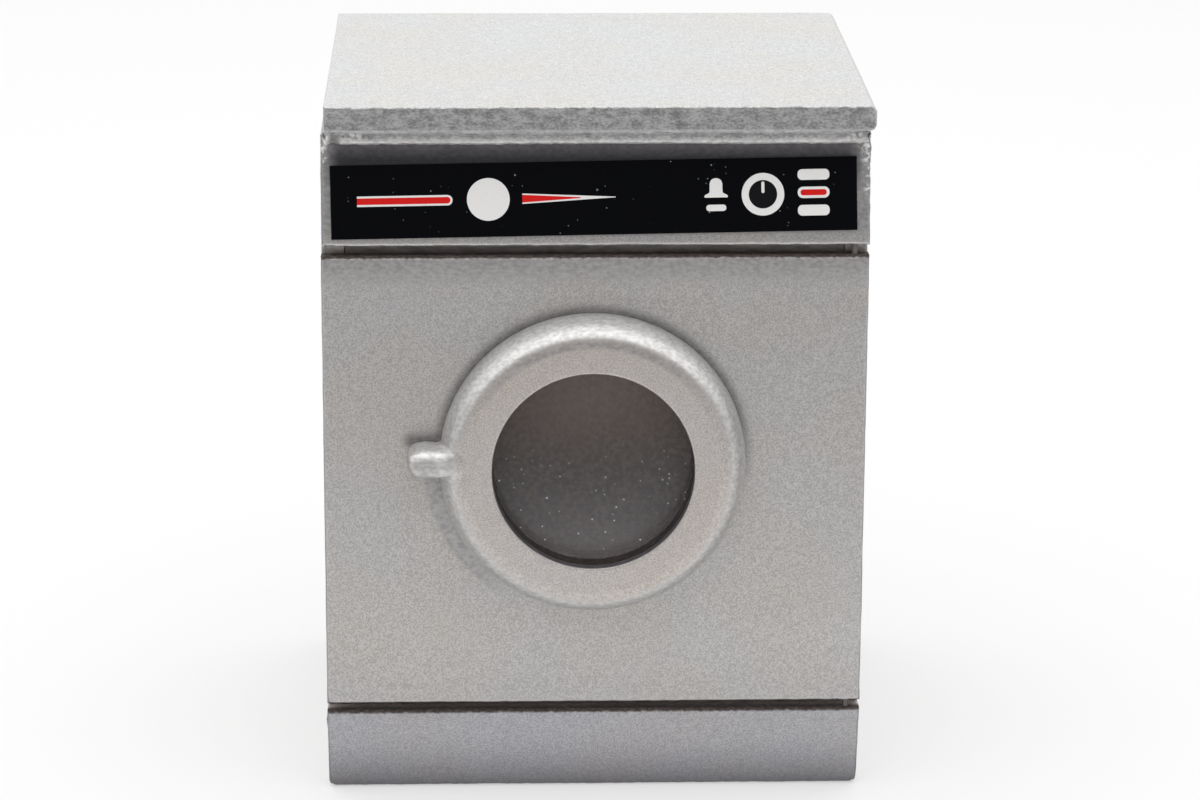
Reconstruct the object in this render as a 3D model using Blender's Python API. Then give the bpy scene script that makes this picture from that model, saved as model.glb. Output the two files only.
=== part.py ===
"""Toy washing machine for a doll's house, glued up from thin boards, with a front that opens.

The layout is drawn with X to the right, Y going back from the door's front face and Z up from the
table. The whole toy is then moved so that the origin is at the middle of its footprint.
"""
import math

import bmesh
import bpy
from mathutils import Matrix, Vector

for old in list(bpy.data.objects):
    bpy.data.objects.remove(old, do_unlink=True)

MM = 0.001

# Carcass boards
BODY_WIDTH = 60.0 * MM
BODY_DEPTH = 54.5 * MM
BOARD = 2.5 * MM
GLUE_LINE = 0.1 * MM
EDGE_ROUND = 0.4 * MM
BACK_EDGE_ROUND = 0.25 * MM

# The front from the table up: leaning kick board, gap, door, gap, leaning control board
KICK_HEIGHT = 10.0 * MM
KICK_SETBACK = 2.5 * MM
KICK_CORNER = 0.85 * MM
LOWER_GAP = 1.1 * MM
DOOR_HEIGHT = 51.5 * MM
UPPER_GAP = 1.25 * MM
CONTROL_HEIGHT = 11.4 * MM
CONTROL_SETBACK = 2.0 * MM

# The door board, and how far the shelf edges reach behind it as a stop
DOOR_THICKNESS = 2.0 * MM
DOOR_BACK_GAP = 0.7 * MM
STOP_OVERLAP = 1.3 * MM

# Worktop slab and the thinner board under it
WORKTOP_TRIM = 0.05 * MM
WORKTOP_THICKNESS = 2.75 * MM
WORKTOP_OVERHANG = 0.3 * MM
WORKTOP_BACK_OVERHANG = 0.7 * MM
WORKTOP_SHIFT = 0.45 * MM
WORKTOP_CORNER = 0.7 * MM
WORKTOP_ROUND = 0.35 * MM
UNDERLAY_THICKNESS = 1.1 * MM
UNDERLAY_INSET = 1.8 * MM

# Printed label on the control board, stuck on slightly askew
LABEL_MARGIN = 1.3 * MM
LABEL_HEIGHT = 8.05 * MM
LABEL_FILM = 0.15 * MM
LABEL_GLUE = 0.05 * MM
LABEL_RISE = 5.19 * MM
LABEL_SHIFT = -0.16 * MM
LABEL_SKEW = math.radians(0.89)

# Porthole: a cast ring over a cut spacer and a clear disc, all in front of the door board
PORTHOLE_SHIFT = -0.3 * MM
PORTHOLE_RISE = 28.3 * MM
WINDOW_RADIUS = 11.1 * MM
SPACER_LAND = 3.8 * MM
SPACER_THICKNESS = 1.9 * MM
PANE_THICKNESS = 1.0 * MM
PANE_SEAT_GAP = 0.15 * MM
DISC_GLUE = 0.05 * MM
DISC_FIT = 0.1 * MM
RING_WALL = 1.92 * MM
RING_FLANGE = 1.25 * MM
RING_CREST = 0.15 * MM
RING_CREST_LAND = 3.85 * MM
RING_CREST_TILT = math.radians(35)
RING_FACE_LAND = 3.0 * MM
RING_LIP_ROUND = 0.18 * MM

# Door handle, cast in one with the ring
HANDLE_REACH = 3.2 * MM
HANDLE_WIDTH = 3.1 * MM
HANDLE_RISE = 0.6 * MM
HANDLE_PROUD = 0.08 * MM
HANDLE_ROUND = 0.9 * MM

# Hinge pins, one above and one below the door, near its right edge
PIN_RADIUS = 0.35 * MM
PIN_INSET = 1.56 * MM
PIN_DEPTH = 1.0 * MM
PIN_INTO_DOOR = 2.5 * MM
PIN_INTO_BODY = 1.4 * MM
PIN_RUN = 0.1 * MM
PIN_SEAT = 0.05 * MM
PIN_END_GAP = 0.1 * MM
PIN_CHAMFER = 0.1 * MM
DOOR_SWING_ROUND = 0.9 * MM

# How finely the round shapes are cut
RING_SEGMENTS = 96
PIN_SEGMENTS = 24
ARC_STEPS = 6
CORNER_STEPS = 4
OVERRUN = 1.0 * MM

# Heights, worked out from the table up
half_width = BODY_WIDTH / 2
door_bottom = KICK_HEIGHT + LOWER_GAP
door_top = door_bottom + DOOR_HEIGHT
control_bottom = door_top + UPPER_GAP
carcass_top = control_bottom + CONTROL_HEIGHT
underlay_bottom = carcass_top + GLUE_LINE
worktop_bottom = underlay_bottom + UNDERLAY_THICKNESS + GLUE_LINE
worktop_top = worktop_bottom + WORKTOP_THICKNESS

# Depths, worked out from the door's front face
carcass_front = DOOR_THICKNESS + DOOR_BACK_GAP
back_front = BODY_DEPTH - BOARD
carcass_back = back_front - GLUE_LINE
worktop_front = -WORKTOP_OVERHANG
worktop_back = BODY_DEPTH + WORKTOP_BACK_OVERHANG
side_inner = half_width - BOARD

# Widths that follow the body's: the slab sits a little off centre
worktop_left = WORKTOP_SHIFT - half_width + WORKTOP_TRIM
worktop_right = WORKTOP_SHIFT + half_width - WORKTOP_TRIM
label_reach = half_width - LABEL_MARGIN

# Porthole sizes, worked out from the window and the discs in it
porthole_height = door_bottom + PORTHOLE_RISE
disc_radius = WINDOW_RADIUS + SPACER_LAND
ring_bore = disc_radius + DISC_FIT
ring_radius = ring_bore + RING_WALL
pane_back = -PANE_SEAT_GAP
pane_front = pane_back - PANE_THICKNESS
spacer_back = pane_front - DISC_GLUE
spacer_front = spacer_back - SPACER_THICKNESS
ring_shelf = spacer_front - DISC_GLUE
ring_face = ring_shelf - RING_FLANGE
ring_crest = ring_face - RING_CREST
ring_back = -GLUE_LINE
handle_front = ring_crest - HANDLE_PROUD

# The hinge axis
hinge_x = half_width - PIN_INSET
hinge_y = PIN_DEPTH

# The toy's own frame: middle of the footprint, on the table
left_reach = min(-half_width, worktop_left)
right_reach = max(half_width, worktop_right)
front_reach = min(handle_front, worktop_front)
back_reach = max(BODY_DEPTH, worktop_back)
footprint_middle = Vector(((left_reach + right_reach) / 2, (front_reach + back_reach) / 2, 0))

# Finishes: base colour, roughness, metallic
SILVER_PAINT = ((0.42, 0.41, 0.41), 0.45, 0.6)
RAW_BOARD = ((0.22, 0.14, 0.08), 0.85, 0.0)
BLACK_FILM = ((0.004, 0.004, 0.005), 0.25, 0.0)
CLEAR_SHEET = ((0.10, 0.09, 0.085), 0.06, 0.0)
PIN_STEEL = ((0.05, 0.045, 0.042), 0.45, 1.0)

scene_collection = bpy.context.scene.collection


def empty(name, location, parent=None):
    """A bare parent that carries pieces."""
    holder = bpy.data.objects.new(name, None)
    holder.location = location
    holder.parent = parent
    scene_collection.objects.link(holder)
    return holder


def material(name, finish):
    """A plain painted, printed or raw finish."""
    colour, roughness, metallic = finish
    made = bpy.data.materials.new(name)
    made.use_nodes = True
    shader = made.node_tree.nodes["Principled BSDF"]
    shader.inputs["Base Color"].default_value = (*colour, 1)
    shader.inputs["Roughness"].default_value = roughness
    shader.inputs["Metallic"].default_value = metallic
    return made


def finished(name, shape, finish, parent):
    """Turn a bmesh into a named object on its parent, with its material."""
    bmesh.ops.recalc_face_normals(shape, faces=shape.faces)
    mesh = bpy.data.meshes.new(name)
    shape.to_mesh(mesh)
    shape.free()
    mesh.shade_smooth()
    mesh.set_sharp_from_angle(angle=math.radians(35))
    piece = bpy.data.objects.new(name, mesh)
    piece.parent = parent
    piece.location = -parent.location if parent is door_hinge else (0, 0, 0)
    if finish:
        mesh.materials.append(material(name, finish))
    scene_collection.objects.link(piece)
    return piece


def boolean(piece, tool, operation):
    """Join a tool to a piece or cut it away, and keep the tool out of the finished toy."""
    step = piece.modifiers.new(tool.name, "BOOLEAN")
    step.operation = operation
    step.solver = "EXACT"
    step.object = tool
    tool.hide_render = True
    tool.display_type = "WIRE"


def prism(outline, bottom, top):
    """A flat outline of X and Y, pulled up from one height to another."""
    shape = bmesh.new()
    corners = [shape.verts.new((x, y, bottom)) for x, y in outline]
    base = shape.faces.new(corners)
    lifted = bmesh.ops.extrude_face_region(shape, geom=[base])["geom"]
    moved = [item for item in lifted if isinstance(item, bmesh.types.BMVert)]
    bmesh.ops.translate(shape, verts=moved, vec=(0, 0, top - bottom))
    return shape


def rounded_outline(left, right, front, back, rounds):
    """A rectangle with its own corner radius at front left, front right, back right, back left."""
    quarter = math.pi / 2
    corners = (
        (left, front, 1, 1, 2),
        (right, front, -1, 1, 3),
        (right, back, -1, -1, 0),
        (left, back, 1, -1, 1),
    )
    points = []
    for (x, y, inward_x, inward_y, turn), radius in zip(corners, rounds):
        if not radius:
            points.append((x, y))
            continue
        middle_x = x + inward_x * radius
        middle_y = y + inward_y * radius
        for step in range(CORNER_STEPS + 1):
            angle = quarter * (turn + step / CORNER_STEPS)
            points.append((middle_x + radius * math.cos(angle), middle_y + radius * math.sin(angle)))
    return points


def round_rim(shape, height, width):
    """Round over the edges that lie all at one height."""
    near = width / ARC_STEPS
    rim = [edge for edge in shape.edges
           if all(abs(vert.co.z - height) < near for vert in edge.verts)]
    bmesh.ops.bevel(shape, geom=rim, offset=width, offset_type="OFFSET", segments=CORNER_STEPS - 1,
                    profile=0.5, affect="EDGES", clamp_overlap=True)


def leaned(shape, foot, setback, height):
    """Lean a standing board back by the setback over the height, from the foot height up."""
    slope = Matrix.Identity(4)
    slope[1][2] = setback / height
    bmesh.ops.transform(shape, matrix=slope, verts=shape.verts, space=Matrix.Translation((0, 0, -foot)))
    return shape


def cylinder(radius, start, end, segments, chamfer=0):
    """A round bar along Z between two heights, with small chamfers on its ends if asked."""
    shape = bmesh.new()
    bmesh.ops.create_cone(shape, cap_ends=True, segments=segments, radius1=radius, radius2=radius,
                          depth=end - start)
    bmesh.ops.translate(shape, verts=shape.verts, vec=(0, 0, (start + end) / 2))
    if chamfer:
        ends = [edge for edge in shape.edges if edge.verts[0].co.z == edge.verts[1].co.z]
        bmesh.ops.bevel(shape, geom=ends, offset=chamfer, offset_type="OFFSET", segments=1,
                        affect="EDGES", clamp_overlap=True)
    return shape


def turned(profile, centre_x, centre_z):
    """Spin a closed profile of radius and depth about the porthole's own axis."""
    shape = bmesh.new()
    axis = Vector((centre_x, 0, centre_z))
    verts = [shape.verts.new(axis + Vector((radius, depth, 0))) for radius, depth in profile]
    edges = [shape.edges.new((verts[i - 1], verts[i])) for i in range(len(verts))]
    bmesh.ops.spin(shape, geom=verts + edges, cent=axis, axis=(0, 1, 0), dvec=(0, 0, 0),
                   angle=math.tau, steps=RING_SEGMENTS, use_merge=True)
    return shape


def facing_front(shape, centre_x, centre_z):
    """Turn a shape made along Z so that it lies along Y at the porthole's centre."""
    move = Matrix.Translation((centre_x, 0, centre_z)) @ Matrix.Rotation(-math.pi / 2, 4, "X")
    bmesh.ops.transform(shape, matrix=move, verts=shape.verts)
    return shape


layout = empty("layout", -footprint_middle)
door_hinge = empty("door_hinge", (hinge_x, hinge_y, 0), layout)


def make_worktop():
    """The slab on top, a little off centre as on the real toy, and the thinner board under it."""
    outline = rounded_outline(worktop_left, worktop_right, worktop_front, worktop_back,
                              [WORKTOP_CORNER] * 4)
    slab = prism(outline, worktop_bottom, worktop_top)
    round_rim(slab, worktop_top, WORKTOP_ROUND)
    finished("worktop", slab, SILVER_PAINT, layout)
    outline = rounded_outline(worktop_left + UNDERLAY_INSET, worktop_right - UNDERLAY_INSET,
                              worktop_front, worktop_back - UNDERLAY_INSET, [BACK_EDGE_ROUND] * 4)
    underlay = prism(outline, underlay_bottom, underlay_bottom + UNDERLAY_THICKNESS)
    finished("worktop_underlay", underlay, SILVER_PAINT, layout)


def make_side(name, outer, inner):
    """One side of the carcass, cut at the front to carry the leaning boards."""
    outline = [
        (carcass_front + KICK_SETBACK, 0),
        (carcass_back, 0),
        (carcass_back, carcass_top),
        (carcass_front + CONTROL_SETBACK, carcass_top),
        (carcass_front, control_bottom),
        (carcass_front, KICK_HEIGHT),
    ]
    shape = prism(outline, min(outer, inner), max(outer, inner))
    upright = Matrix(((0, 0, 1, 0), (1, 0, 0, 0), (0, 1, 0, 0), (0, 0, 0, 1)))
    bmesh.ops.transform(shape, matrix=upright, verts=shape.verts)
    near = BACK_EDGE_ROUND / ARC_STEPS
    level_edges = [edge for edge in shape.edges
                   if all(abs(vert.co.x - outer) < near for vert in edge.verts)
                   and abs(edge.verts[0].co.z - edge.verts[1].co.z) < near]
    bmesh.ops.bevel(shape, geom=level_edges, offset=BACK_EDGE_ROUND, offset_type="OFFSET", segments=2,
                    profile=0.5, affect="EDGES", clamp_overlap=True)
    finished(name, shape, SILVER_PAINT, layout)


def make_back():
    """The back panel, which covers the back edges of both sides."""
    outline = rounded_outline(-half_width, half_width, back_front, BODY_DEPTH,
                              [0, 0, EDGE_ROUND, EDGE_ROUND])
    finished("back_panel", prism(outline, 0, carcass_top), SILVER_PAINT, layout)


def make_shelf(name, bottom):
    """A board across the carcass, above or below the space behind the door."""
    reach = side_inner - GLUE_LINE
    outline = rounded_outline(-reach, reach, carcass_front, carcass_back, [0] * 4)
    finished(name, prism(outline, bottom, bottom + BOARD), RAW_BOARD, layout)


def front_outline(front, back):
    """The plan of a front board: full width, front corners sanded round."""
    return rounded_outline(-half_width, half_width, front, back, [EDGE_ROUND, EDGE_ROUND, 0, 0])


def pin_socket(name, end, mouth, radius, parent):
    """A blind round hole for a hinge pin, as a cutter."""
    low, high = min(end, mouth), max(end, mouth)
    shape = cylinder(radius, low, high, PIN_SEGMENTS)
    bmesh.ops.translate(shape, verts=shape.verts, vec=(hinge_x, hinge_y, 0))
    return finished(name, shape, None, parent)


def corner_cutter(name, side, front, back):
    """What is sanded off a lower corner of the kick board, on the left (-1) or the right (1)."""
    inner = side * (half_width - KICK_CORNER)
    outer = side * (half_width + OVERRUN)
    outline = [(outer, KICK_CORNER), (outer, -OVERRUN), (inner, -OVERRUN)]
    for step in range(ARC_STEPS + 1):
        angle = math.pi / 2 * step / ARC_STEPS
        outline.append((inner + side * KICK_CORNER * math.sin(angle),
                        KICK_CORNER - KICK_CORNER * math.cos(angle)))
    shape = prism(outline, -back, -front)
    stand = Matrix(((1, 0, 0, 0), (0, 0, -1, 0), (0, 1, 0, 0), (0, 0, 0, 1)))
    bmesh.ops.transform(shape, matrix=stand, verts=shape.verts)
    return finished(name, shape, None, layout)


def make_kick_board():
    """The board at the bottom of the front, leaning in towards the table."""
    lean = math.atan(KICK_SETBACK / KICK_HEIGHT)
    back = carcass_front - GLUE_LINE / math.cos(lean)
    shape = prism(front_outline(back - BOARD / math.cos(lean), back), 0, KICK_HEIGHT)
    leaned(shape, KICK_HEIGHT, -KICK_SETBACK, KICK_HEIGHT)
    piece = finished("kick_board", shape, SILVER_PAINT, layout)
    end = KICK_HEIGHT - PIN_INTO_BODY - PIN_END_GAP
    boolean(piece, pin_socket("cut_kick_socket", end, KICK_HEIGHT + OVERRUN, PIN_RADIUS + PIN_SEAT,
                              layout), "DIFFERENCE")
    cut_back = back + KICK_SETBACK + OVERRUN
    for name, side in (("cut_kick_corner_left", -1), ("cut_kick_corner_right", 1)):
        boolean(piece, corner_cutter(name, side, -OVERRUN, cut_back), "DIFFERENCE")


def make_control_board():
    """The board at the top of the front, leaning back under the worktop, and its label."""
    lean = math.atan(CONTROL_SETBACK / CONTROL_HEIGHT)
    back = carcass_front - GLUE_LINE / math.cos(lean)
    front = back - BOARD / math.cos(lean)
    shape = prism(front_outline(front, back), control_bottom, carcass_top)
    leaned(shape, control_bottom, CONTROL_SETBACK, CONTROL_HEIGHT)
    piece = finished("control_board", shape, SILVER_PAINT, layout)
    end = control_bottom + PIN_INTO_BODY + PIN_END_GAP
    boolean(piece, pin_socket("cut_control_socket", end, control_bottom - OVERRUN,
                              PIN_RADIUS + PIN_SEAT, layout), "DIFFERENCE")
    outline = rounded_outline(-label_reach, label_reach, -LABEL_GLUE - LABEL_FILM, -LABEL_GLUE,
                              [0] * 4)
    label = finished("control_label", prism(outline, -LABEL_HEIGHT / 2, LABEL_HEIGHT / 2),
                     BLACK_FILM, layout)
    foot = Vector((LABEL_SHIFT, front, control_bottom))
    tilt = Matrix.Rotation(-lean, 4, "X")
    place = Matrix.Translation(foot) @ tilt @ Matrix.Translation((0, 0, LABEL_RISE))
    label.matrix_local = place @ Matrix.Rotation(-LABEL_SKEW, 4, "Y")


def make_door_board():
    """The door: the middle board of the front, with its window hole and two pin sockets."""
    outline = rounded_outline(-half_width, half_width, 0, DOOR_THICKNESS,
                              [EDGE_ROUND, EDGE_ROUND, DOOR_SWING_ROUND, BACK_EDGE_ROUND])
    piece = finished("door_board", prism(outline, door_bottom, door_top), SILVER_PAINT, door_hinge)
    hole = cylinder(WINDOW_RADIUS, -OVERRUN, DOOR_THICKNESS + OVERRUN, RING_SEGMENTS)
    facing_front(hole, PORTHOLE_SHIFT, porthole_height)
    boolean(piece, finished("cut_window_hole", hole, None, door_hinge), "DIFFERENCE")
    reach = PIN_INTO_DOOR + PIN_END_GAP
    sockets = (
        ("cut_lower_socket", door_bottom + reach, door_bottom - OVERRUN),
        ("cut_upper_socket", door_top - reach, door_top + OVERRUN),
    )
    for name, end, mouth in sockets:
        boolean(piece, pin_socket(name, end, mouth, PIN_RADIUS + PIN_RUN, door_hinge), "DIFFERENCE")


def make_pins():
    """Two plain pins that stand in the body's boards and carry the door."""
    spans = (
        ("lower_hinge_pin", KICK_HEIGHT - PIN_INTO_BODY, door_bottom + PIN_INTO_DOOR),
        ("upper_hinge_pin", door_top - PIN_INTO_DOOR, control_bottom + PIN_INTO_BODY),
    )
    for name, start, end in spans:
        shape = cylinder(PIN_RADIUS, start, end, PIN_SEGMENTS, PIN_CHAMFER)
        bmesh.ops.translate(shape, verts=shape.verts, vec=(hinge_x, hinge_y, 0))
        finished(name, shape, PIN_STEEL, layout)


def ring_profile():
    """Section of the cast ring: upright foot, long rolled shoulder, crest, flat face and window lip."""
    crest_radius = WINDOW_RADIUS + RING_CREST_LAND
    shoulder = (ring_radius - crest_radius) / (1 - math.sin(RING_CREST_TILT))
    points = [(ring_radius, ring_back)]
    for step in range(ARC_STEPS + 1):
        angle = math.pi / 2 - (math.pi / 2 - RING_CREST_TILT) * step / ARC_STEPS
        points.append((ring_radius - shoulder * (1 - math.sin(angle)),
                       ring_crest + shoulder * (math.cos(RING_CREST_TILT) - math.cos(angle))))
    face_edge = WINDOW_RADIUS + RING_FACE_LAND
    points.append((face_edge, ring_face))
    for step in range(CORNER_STEPS):
        angle = math.pi / 2 * step / (CORNER_STEPS - 1)
        points.append((WINDOW_RADIUS + RING_LIP_ROUND - RING_LIP_ROUND * math.sin(angle),
                       ring_face + RING_LIP_ROUND - RING_LIP_ROUND * math.cos(angle)))
    points.append((WINDOW_RADIUS, ring_back))
    return points


def handle_bar():
    """The handle: a bar with round ends, pulled forward, with its front edges rolled over."""
    half = HANDLE_WIDTH / 2
    outer = PORTHOLE_SHIFT - ring_radius - HANDLE_REACH
    inner = PORTHOLE_SHIFT - WINDOW_RADIUS - RING_FACE_LAND
    outline = []
    for middle, first_turn in ((outer + half, 1), (inner - half, 3)):
        for step in range(2 * ARC_STEPS + 1):
            angle = math.pi / 2 * (first_turn + step / ARC_STEPS)
            outline.append((middle + half * math.cos(angle), half * math.sin(angle)))
    shape = prism(outline, ring_back, handle_front)
    near = HANDLE_ROUND / ARC_STEPS
    rim = [edge for edge in shape.edges
           if all(abs(vert.co.z - handle_front) < near for vert in edge.verts)]
    bmesh.ops.bevel(shape, geom=rim, offset=min(HANDLE_ROUND, half), offset_type="OFFSET",
                    segments=CORNER_STEPS, profile=0.5, affect="EDGES", clamp_overlap=True)
    stand = Matrix(((1, 0, 0, 0), (0, 0, 1, 0), (0, 1, 0, porthole_height + HANDLE_RISE), (0, 0, 0, 1)))
    bmesh.ops.transform(shape, matrix=stand, verts=shape.verts)
    return shape


def make_porthole():
    """Cast ring with its handle, the cut spacer ring behind its flange, and the clear disc."""
    place = (PORTHOLE_SHIFT, porthole_height)
    ring = finished("porthole_ring", turned(ring_profile(), *place), SILVER_PAINT, door_hinge)
    boolean(ring, finished("join_handle", handle_bar(), None, door_hinge), "UNION")
    pocket = cylinder(ring_bore, ring_shelf, OVERRUN, RING_SEGMENTS)
    facing_front(pocket, *place)
    boolean(ring, finished("cut_ring_pocket", pocket, None, door_hinge), "DIFFERENCE")
    spacer = [(WINDOW_RADIUS, spacer_back), (WINDOW_RADIUS, spacer_front),
              (disc_radius, spacer_front), (disc_radius, spacer_back)]
    finished("window_spacer", turned(spacer, *place), RAW_BOARD, door_hinge)
    pane = cylinder(disc_radius, pane_front, pane_back, RING_SEGMENTS)
    finished("window_pane", facing_front(pane, *place), CLEAR_SHEET, door_hinge)


make_worktop()
make_side("left_side", -half_width, -side_inner)
make_side("right_side", half_width, side_inner)
make_back()
make_shelf("compartment_floor", door_bottom + STOP_OVERLAP - BOARD)
make_shelf("compartment_ceiling", door_top - STOP_OVERLAP)
make_kick_board()
make_control_board()
make_pins()
make_door_board()
make_porthole()
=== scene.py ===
import math

import bmesh
import bpy
from mathutils import Euler, Matrix, Vector, noise


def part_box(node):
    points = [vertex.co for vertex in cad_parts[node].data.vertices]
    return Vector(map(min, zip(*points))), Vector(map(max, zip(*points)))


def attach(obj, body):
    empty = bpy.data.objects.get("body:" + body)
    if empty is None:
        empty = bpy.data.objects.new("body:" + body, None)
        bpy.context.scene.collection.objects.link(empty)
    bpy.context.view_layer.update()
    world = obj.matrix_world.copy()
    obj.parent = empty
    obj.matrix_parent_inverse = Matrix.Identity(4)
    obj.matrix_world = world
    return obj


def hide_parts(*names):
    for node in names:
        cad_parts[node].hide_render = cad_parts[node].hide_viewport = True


# Looks of a toy washing machine for a doll's house: silver spray paint on thin sawn fibre board.
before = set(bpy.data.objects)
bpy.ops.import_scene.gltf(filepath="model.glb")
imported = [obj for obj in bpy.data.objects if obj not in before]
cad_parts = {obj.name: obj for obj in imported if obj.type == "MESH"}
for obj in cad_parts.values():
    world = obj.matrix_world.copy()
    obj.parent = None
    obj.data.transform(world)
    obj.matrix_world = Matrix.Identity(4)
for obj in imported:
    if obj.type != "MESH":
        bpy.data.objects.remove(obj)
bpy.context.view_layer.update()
bpy.ops.object.select_all(action="DESELECT")

MM = 0.001

# Camera. It stands a little above the toy and left of its middle, a long way off for its size,
# as in the photograph. Its place is measured from the middle of the door's front face.
CAMERA_FROM_FACE = Vector((-13.55, -434.5, 170.3)) * MM
CAMERA_LENS = 122.98
CAMERA_SENSOR = 36
CAMERA_NEAR = 0.01
CAMERA_PITCH = math.radians(15.917)
CAMERA_YAW = math.radians(1.856)
CAMERA_ROLL = math.radians(0.236)

door_low, door_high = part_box("door_board")
door_face = Vector(((door_low.x + door_high.x) / 2, door_low.y, 0))
bpy.ops.object.camera_add(location=door_face + CAMERA_FROM_FACE)
camera = bpy.context.object
camera.name = "camera"
camera.data.lens = CAMERA_LENS
camera.data.sensor_width = CAMERA_SENSOR
camera.data.clip_start = CAMERA_NEAR
aim = Euler((math.pi / 2 - CAMERA_PITCH, 0, -CAMERA_YAW)).to_matrix()
camera.rotation_euler = (aim @ Matrix.Rotation(CAMERA_ROLL, 3, "Z")).to_euler()
bpy.context.scene.camera = camera
bpy.context.scene.view_settings.view_transform = "Standard"


# Table. A white sheet that the toy stands on. It keeps the toy's shadow and looks white to the
# camera. In the paint's reflections it glows as painted light: brighter than white near the toy,
# with a painted shadow at the toy's foot, and dimmer further in front.
class Value:
    """One socket of a finish. Sums written on it add their own Math nodes."""

    def __init__(self, tree, socket):
        self.tree = tree
        self.socket = socket

    def node(self, kind, settings=None, inputs=None, output=0):
        """Add any other node: its settings first, then the values or links of its sockets."""
        made = self.tree.nodes.new(kind)
        for name, setting in (settings or {}).items():
            setattr(made, name, setting)
        for name, value in (inputs or {}).items():
            if isinstance(value, Value):
                self.tree.links.new(value.socket, made.inputs[name])
            else:
                made.inputs[name].default_value = value
        return Value(self.tree, made.outputs[output])

    def maths(self, operation, *terms):
        """Add one Math node."""
        return self.node("ShaderNodeMath", {"operation": operation}, dict(enumerate(terms)))

    def __add__(self, other):
        return self.maths("ADD", self, other)

    def __sub__(self, other):
        return self.maths("SUBTRACT", self, other)

    def __rsub__(self, other):
        return self.maths("SUBTRACT", other, self)

    def __mul__(self, other):
        return self.maths("MULTIPLY", self, other)

    __radd__ = __add__
    __rmul__ = __mul__

    def over(self, other):
        """The larger of two values."""
        return self.maths("MAXIMUM", self, other)

    def rise(self, start, end):
        """0 before start, 1 after end, and smooth between them."""
        settings = {"interpolation_type": "SMOOTHSTEP"}
        return self.node("ShaderNodeMapRange", settings, {"Value": self, 1: start, 2: end})

    def tint(self, first, second):
        """The first colour where this is 0 and the second where it is 1."""
        colours = {0: self}
        for socket, colour in ((6, first), (7, second)):
            colours[socket] = colour if isinstance(colour, Value) else (*colour, 1)
        return self.node("ShaderNodeMix", {"data_type": "RGBA"}, colours, 2)

    def grain(self, size, detail=2.0, stretch=(1, 1, 1)):
        """Noise over this place, in lumps of about the given size."""
        scaled = self.node("ShaderNodeMapping", {}, {"Vector": self, "Scale": stretch})
        inputs = {"Vector": scaled, "Scale": 1 / size, "Detail": detail}
        return self.node("ShaderNodeTexNoise", {}, inputs)

    def axes(self):
        """The three parts of a place."""
        return [self.node("ShaderNodeSeparateXYZ", {}, {0: self}, part) for part in range(3)]

    def specks(self, spacing, radius, missing=0.35, soft=0.3):
        """Round specks on an upright face, one in each cell, from nothing to the full radius.

        Missing is the share of cells left empty, and soft the share of the radius that fades.
        """
        side, _, height = self.axes()
        flat = self.node("ShaderNodeCombineXYZ", {}, {0: side, 1: height})
        cells = {"Vector": flat, "Scale": 1 / spacing}
        settings = {"voronoi_dimensions": "2D", "feature": "F1"}
        distance = self.node("ShaderNodeTexVoronoi", settings, cells)
        size = self.node("ShaderNodeTexVoronoi", settings, cells, 1).axes()[0]
        reach = size.rise(missing, 1.0) * (radius / spacing)
        return (reach - distance).rise(0, soft * radius / spacing)


def new_finish(name):
    """A new material, its surface shader, and the place on the piece as a value."""
    made = bpy.data.materials.new(name)
    made.use_nodes = True
    tree = made.node_tree
    coordinates = tree.nodes.new("ShaderNodeTexCoord")
    return made, tree.nodes["Principled BSDF"], Value(tree, coordinates.outputs["Object"])


def feed(shader, socket, value):
    """Link a value to a shader's socket, or set the socket where it is a plain number."""
    if isinstance(value, Value):
        value.tree.links.new(value.socket, shader.inputs[socket])
    else:
        shader.inputs[socket].default_value = value


def relief(shader, place, height, depth, strength=0.55):
    """Small raised detail on a finish: height from 0 to 1, and its full depth."""
    inputs = {"Strength": strength, "Distance": depth, "Height": height}
    feed(shader, "Normal", place.node("ShaderNodeBump", {}, inputs))


def ray_kinds(tree):
    """Whether a ray comes from the camera, and whether it shows in gloss or glass."""
    path = tree.nodes.new("ShaderNodeLightPath")
    camera_ray, glossy_ray, clear_ray = (
        Value(tree, path.outputs[name])
        for name in ("Is Camera Ray", "Is Glossy Ray", "Is Transmission Ray"))
    return camera_ray, glossy_ray.over(clear_ray)


TABLE_SIZE = 6.0
TABLE_PALE = (0.82, 0.82, 0.82)
TABLE_SHADE = (0.79, 0.79, 0.79)
TABLE_CLOUD = 0.4
TABLE_ROUGHNESS = 0.9
TABLE_SPECULAR = 0.1
TABLE_GLOW = 0.5
TABLE_SHEEN = 0.75
TABLE_BRIGHT = 1.35
TABLE_NEAR = (-0.006, 0.001)
TABLE_FAR = (0.05, 0.19)
SHADE_NEAR = 0.7
SHADE_FAR = 0.66

bpy.ops.mesh.primitive_plane_add(size=TABLE_SIZE)
table = bpy.context.object
table.name = "table"
table_finish, table_shader, table_place = new_finish("table_white")
table_tree = table_finish.node_tree
feed(table_shader, "Base Color", table_place.grain(TABLE_CLOUD).tint(TABLE_SHADE, TABLE_PALE))
feed(table_shader, "Roughness", TABLE_ROUGHNESS)
feed(table_shader, "Specular IOR Level", TABLE_SPECULAR)
seen, mirrored = ray_kinds(table_tree)
# Painted light: the glow that the paint mirrors, with a painted shadow at the toy's foot.
before = door_face.y - table_place.axes()[1]
near, far = before.rise(*TABLE_NEAR), before.rise(*TABLE_FAR)
sheen = (near * SHADE_NEAR + (1 - SHADE_NEAR)) * (1 - far * SHADE_FAR)
glow = table_tree.nodes.new("ShaderNodeEmission")
feed(glow, "Color", (seen * (1 / TABLE_BRIGHT)).over(sheen * mirrored).tint((0, 0, 0), (1, 1, 1)))
feed(glow, "Strength", TABLE_BRIGHT)
table_mix = table_tree.nodes.new("ShaderNodeMixShader")
feed(table_mix, "Fac", (seen * TABLE_GLOW).over(mirrored * TABLE_SHEEN))
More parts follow.
